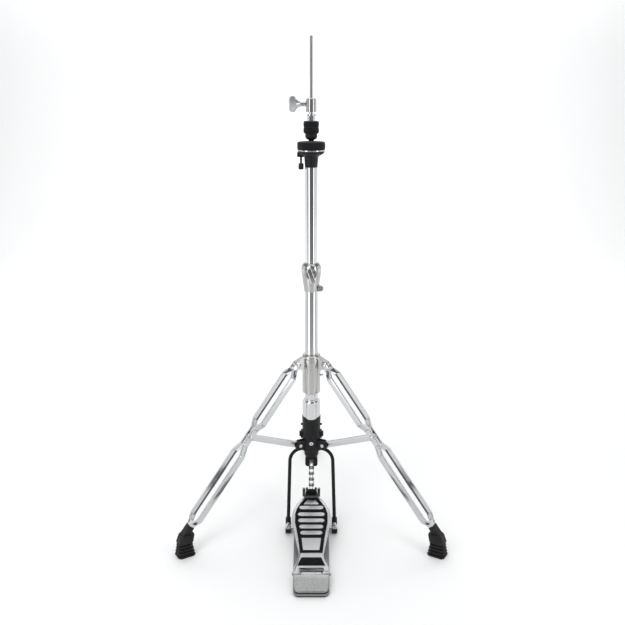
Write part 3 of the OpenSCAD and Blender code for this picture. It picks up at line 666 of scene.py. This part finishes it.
def build_chain():
    plates, pins = Shape(CHAIN_PLACE), Shape(CHAIN_PLACE)
    outline = filleted(link_outline(), 0.3, 1)
    for i in range(LINKS):
        offset = 2.6 if i % 2 == 0 else 4.1
        for side in (-1, 1):
            low = offset if side > 0 else -offset - LINK_SHEET
            link_place = shift(0, 0, -i * PITCH) @ turn(90, "Z") @ turn(90, "X")
            plates.plate(outline, low, low + LINK_SHEET, 0.3, link_place, 2)
    for i in range(LINKS + 1):
        drop = shift(0, 0, -i * PITCH) @ ALONG_X
        pins.lathe(filleted([(2.1, -2.5), (4, -2.5), (4, 2.5), (2.1, 2.5)], 0.5, 3), drop, 32, loop=True)
        if i:
            reach = 6.6 if i < LINKS else 11
            pins.pin(2, -reach, reach, 0.5, drop, 24)
    add_piece("chain_link_plates", plates.mesh("chain_plates"), "chain_plates")
    add_piece("chain_rollers", pins.mesh("chain_pins"), "chain_pins")


def build_spring():
    """Ten even turns of wire round the rod."""
    shape = Shape(AT_COLUMN)
    wire, mean, low, high, turns, per_turn = 1.3, 8.0, 193.0, 285.7, 10, 28
    rings = []
    for i in range(turns * per_turn + 1):
        a = 2 * math.pi * i / per_turn
        z = low + wire + (high - low - 2 * wire) * i / (turns * per_turn)
        rings.append([((mean + wire * math.cos(b)) * math.cos(a), (mean + wire * math.cos(b)) * math.sin(a),
                       z + wire * math.sin(b)) for b in (math.radians(36 * k) for k in range(10))])
    shape.skin(rings)
    spring = add_piece("return_spring_coil", shape.mesh("return_spring"), "return_spring")
    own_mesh(spring)


# ---------------------------------------------------------------- felts, knurled and turned pieces

CLUTCH_FELT = 11.9
SPUR_X, SPUR_Y = 52.6, -77
TILT_SCREW_X = -21
CLUTCH_WING_Z, CLUTCH_WING_TURN = 938.5, 18
CLAMP_WING_Z, CLAMP_WING_TURN = 592, 72


def felt_wave(seed, depth):
    """A slight unevenness of pressed fibre on a disc's outside."""
    def wave(a, r, z):
        spot = Vector((math.cos(a) * r, math.sin(a) * r, z))
        fine = noise.noise(spot * 0.9 + Vector((seed, 0, 0)))
        return -depth * (0.5 + 0.5 * fine) if r > 6 else 0
    return wave


def felt_profile(inner, outer, low, high, edge):
    """A pressed disc: soft rims, and a side that bulges a little."""
    bulge = (high - low) * 0.3
    return filleted([(inner, low), (outer - 0.8, low, edge), (outer, low + bulge, edge),
                     (outer, high - bulge, edge), (outer - 0.8, high, edge), (inner, high)], 0.4, 4)


def dense(profile, gap):
    """Adds points to a closed profile until none are more than about that gap apart."""
    out = []
    for i, here in enumerate(profile):
        after = profile[(i + 1) % len(profile)]
        here, after = Vector(here), Vector(after)
        parts = max(1, int((after - here).length / gap))
        out += [here.lerp(after, k / parts) for k in range(parts)]
    return out


def build_felts():
    seat = Shape(AT_COLUMN)
    seat.lathe(dense(felt_profile(8, 29, 848.5, 864, 2.2), 1.4), steps=150, loop=True,
               wave=felt_wave(3, 0.5))
    add_piece("seat_felt_disc", seat.mesh("seat_felt", 60), "seat_felt")
    pair = Shape(AT_COLUMN)
    for z in (881, 893.1):
        pair.lathe(dense(felt_profile(4.75, 16, z, z + CLUTCH_FELT, 0.9), 1.2), steps=110, loop=True,
                   wave=felt_wave(z, 0.45))
    add_piece("clutch_felt_discs", pair.mesh("clutch_felts", 60), "clutch_felts")


def knurl(count, depth, low, high, from_radius):
    """Teeth round a head, between two heights."""
    def wave(a, r, z):
        if r < from_radius or not low <= z <= high:
            return 0
        return -depth * (0.5 + 0.5 * math.cos(a * count)) ** 0.6
    return wave


def build_spurs():
    for side, key in ((-1, "left"), (1, "right")):
        shape = Shape(AT_COLUMN @ shift(SPUR_X * side, SPUR_Y, 0))
        shape.lathe([(0, 1), (0.5, 1.1), (3, 6), (3, 11), (5.1, 11.05), (5.8, 12), (5.8, 20), (5.1, 20.95),
                     (3, 21), (3, 25.8), (2.6, 26.6), (1.9, 27), (0, 27)], steps=144,
                    wave=knurl(24, 0.7, 11.6, 20.4, 5.5))
        for i in range(5):
            z = 21.6 + 0.8 * i
            shape.lathe([(2.85, z), (2.98, z + 0.2), (2.85, z + 0.4)], steps=32, loop=True)
        add_piece("spur_%s_knurled" % key, shape.mesh("spur_" + key, 28), "spur_" + key)


def build_tilt_screw():
    shape = Shape(AT_COLUMN @ shift(TILT_SCREW_X, 0, 0))
    shape.lathe([(0, 815), (2.1, 815.2), (2.1, 845), (1.4, 845.6), (0, 845.6)], steps=32)
    shape.lathe([(0, 808.6), (4.4, 808.6), (5.35, 809.8), (5.35, 819.4), (4.6, 820.8), (0, 821)], steps=120,
                wave=knurl(16, 0.75, 809.5, 820, 5))
    add_piece("tilt_screw_knob", shape.mesh("tilt_screw", 30), "tilt_screw")


def build_clutch_wing():
    """A cast wing: two round lobes, and a web that narrows into the shaft."""
    side = [(-45.9, 9.6, 6), (-42.6, 17.0, 5), (-33.4, 17.0, 5.5), (-30.1, 10.4, 4), (-26, 6.9, 5),
            (-19.5, 4.5, 3), (-14, 3.9, 1)]
    outline = filleted([(-45.2, 0, 40)] + side + [(x, -z, r) for x, z, r in reversed(side)], 4, 6)
    shape = Shape(AT_COLUMN @ shift(0, 0, CLUTCH_WING_Z) @ turn(CLUTCH_WING_TURN, "X"))
    shape.plate(outline, -2.5, 2.5, 2.1, turn(90, "X"), 5)
    shape.lathe(filleted([(0, -30), (3.2, -30), (4.6, -22), (5, -14), (0, -14)], 1.2, 4, closed=False),
                ALONG_X, 40)
    shape.pin(3, -16, -3.6, 0.3, ALONG_X)
    for i in range(3):
        x = -13.4 + 0.9 * i
        shape.lathe([(2.9, x), (3.15, x + 0.3), (2.9, x + 0.6)], ALONG_X, 32, loop=True)
    add_piece("clutch_wing_cast", shape.mesh("clutch_wing_screw", 40), "clutch_wing_screw")


def build_clamp_wing():
    """A wing of two round lobes on a tapered shaft."""
    outline = []
    for side in (1, -1):
        lobe = [(side * (12 + 5.9 * math.cos(math.radians(b))), 5.9 * side * math.sin(math.radians(b)))
                for b in range(-120, 121, 12)]
        outline += lobe
    shape = Shape(AT_COLUMN @ shift(0, 0, CLAMP_WING_Z))
    lobes_place = turn(CLAMP_WING_TURN, "Y") @ turn(-90, "X")
    shape.plate(filleted(outline, 0.8, 1), -46, -39.5, 2.2, lobes_place, 5)
    shape.lathe(filleted([(0, -42), (4.6, -42), (6, -38), (6, -29.5), (0, -29.5)], 1.0, 4, closed=False),
                ALONG_Y, 48)
    shape.pin(4, -34, -15, 0.4, ALONG_Y)
    add_piece("clamp_wing_cast", shape.mesh("clamp_wing_bolt", 40), "clamp_wing_bolt")


# ---------------------------------------------------------------- pedal

HINGE_Y, HINGE_Z, BOARD_TILT = -250, 16, 8.3
BOARD_PLACE = AT_COLUMN @ shift(0, HINGE_Y, HINGE_Z) @ turn(BOARD_TILT, "X")
BOARD_HALF = [(23.3, 9, 0.6), (23.3, 0, 1), (36.5, 0, 1), (36.5, 13, 6), (27, 38, 14), (26.4, 56, 22),
              (35.5, 112, 60), (43.2, 155, 22), (43.4, 175, 16), (40, 195, 14), (33, 215, 10), (24, 230, 8),
              (17, 238, 8), (13.5, 256, 1.5)]
WINDOWS = ((199, 28), (176, 31), (155.4, 30), (135, 27.2), (115.4, 24.7))
TREAD_FRONT_Y, TREAD_FRONT_Z = -310, 13.3
TREAD_RISE, TREAD_RUN = 7.4, 59


def build_footboard():
    """A cast plate with a rim round its underside, hollow below, and knuckles at the heel."""
    outline = filleted(mirrored(BOARD_HALF), 2, 5)
    shape = Shape(BOARD_PLACE)
    levels = [(2.5, 3.4), (-2.4, 3.2), (-3, 2.6), (-3, 0.9), (-2.6, 0.25), (-1.8, 0), (4.5, 0), (5.1, 0.15),
              (5.6, 0.5), (5.9, 1.0), (6, 1.7), (6, 2.5)]
    shape.skin([[(p[0], p[1], z) for p in inset(outline, d)] for z, d in levels])
    for y in (70, 110, 150, 190):
        shape.block(-23, 23, y, y + 3, -1, 3, 0.4)
    for side in (-1, 1):
        low, high = (23.2, 36.5) if side > 0 else (-36.5, -23.2)
        knuckle = filleted([(3.1, low), (5.5, low), (5.5, high), (3.1, high)], 0.6, 3)
        shape.lathe(knuckle, ALONG_X, 48, loop=True)
    add_piece("footboard_cast", shape.mesh("footboard", 40), "footboard")
    bars = Shape(BOARD_PLACE)
    for y, half in WINDOWS:
        bars.plate(stadium(half - 0.35, 6.4, y=y, steps=12), 5.6, 7.1, 0.9)
    bars.plate(filleted(mirrored([(18.0, 209.5), (9.8, 225.5)]), 1.2, 4), 5.6, 7.1, 0.7)
    add_piece("footboard_bars", bars.mesh("footboard_bars"), "footboard", replaced=())
    # Painted shade: a black rubber block in the hinge slot stands in for the shadow there.
    hinge_shade_block = Shape(BOARD_PLACE)
    hinge_shade_block.block(-22.9, 22.9, 8.5, 9.4, -2.6, 5.7, 0.3)
    add_piece("footboard_hinge_shade_block", hinge_shade_block.mesh("footboard_hinge_shade_block"), "footboard", replaced=(), look="rubber")


def tread_top(y):
    """Height of the sloping tread at that place."""
    return TREAD_FRONT_Z + (y - TREAD_FRONT_Y) * TREAD_RISE / TREAD_RUN


def build_heel_plate():
    """A smooth wedge with round front corners, a shadow gap below, and a tongue over the hinge; a black
    rubber sheet in the gap and under the hinge is painted shade.
    """
    shape = Shape(AT_COLUMN)
    half = [(36.3, -256.2, 1), (35.6, -287, 40), (32.6, -299, 12), (26, -302.9, 9)]
    front = filleted(mirrored(half), 2, 6)
    below = [[(p[0], p[1], z) for p in inset(front, d)]
             for z, d in ((9.6, 1), (9.9, 1), (10, 0.3), (10.3, 0))]
    above = [[(p[0], p[1], tread_top(p[1]) - drop) for p in inset(front, d)]
             for drop, d in ((1.3, 0), (0.6, 0.2), (0.15, 0.7), (0, 1.5))]
    shape.skin(below + above)
    tongue = filleted([(-258, 8, 0.3), (-258, 19.8, 0.3), (-248, 21.05, 1.2), (-246.8, 20.2, 0.6),
                       (-246.8, 8, 0.3)], 0.5, 4)
    shape.plate(tongue, -20.9, 20.9, 0.4, turn(90, "Z") @ turn(90, "X"), 3)
    add_piece("heel_plate_tread", shape.mesh("heel_plate", 40), "heel_plate")
    # Painted shade: a black rubber sheet under the tread's rim and over the hinge stands in for the shadow in
    # the gap and the hinge slot.
    shade_sheet = Shape(AT_COLUMN)
    shade_sheet.plate(inset(front, 0.3), 7.9, 9.95, 0.2)
    shade_sheet.block(-22.5, 22.5, -258, -232, 7.9, 9.2, 0.3)
    add_piece("heel_plate_shade_sheet", shade_sheet.mesh("heel_shade_sheet"), "heel_plate", replaced=(), look="rubber")


# ---------------------------------------------------------------- build

add_camera()
add_studio()
add_floor()

for leg_key, leg_azimuth in AZIMUTHS.items():
    build_leg(leg_key, leg_azimuth)
    build_foot(leg_key, leg_azimuth)
    build_stretcher(leg_key, leg_azimuth)
build_chain()
build_spring()
build_felts()
build_spurs()
build_tilt_screw()
build_clutch_wing()
build_clamp_wing()
build_footboard()
build_heel_plate()

for cad_node, edge_width in (
        ("base_casting", 0.9), ("spur_blocks", 0.9), ("leg_hub", 1.0), ("height_clamp", 1.0),
        ("clutch_body", 0.6), ("clutch_lock_nuts", 0.5), ("clutch_bottom_nut", 0.3), ("seat_tilter", 0.6),
        ("seat_plate", 0.4), ("chain_clevis", 0.8), ("toe_bracket", 0.5), ("toe_clamp", 0.9),
        ("base_plate", 0.8), ("base_rubber", 0.6), ("footboard_grip", 0.45), ("footboard_badge", 0.35),
        ("casting_screws", 0.5), ("frame_rod_screw", 0.5), ("hub_key_screw", 0.3), ("clamp_pinch_screw", 0.6),
        ("toe_screws", 0.4), ("hinge_pin", 0.6), ("heel_plate_rivets", 0.4), ("tube_sleeve", 0.25),
        ("stretcher_pivot_pins", 0.8), ("clevis_pin", 0.4), ("frame_pivot_pins", 0.4), ("rod_coupler", 0.5)):
    softened(cad_node, edge_width)
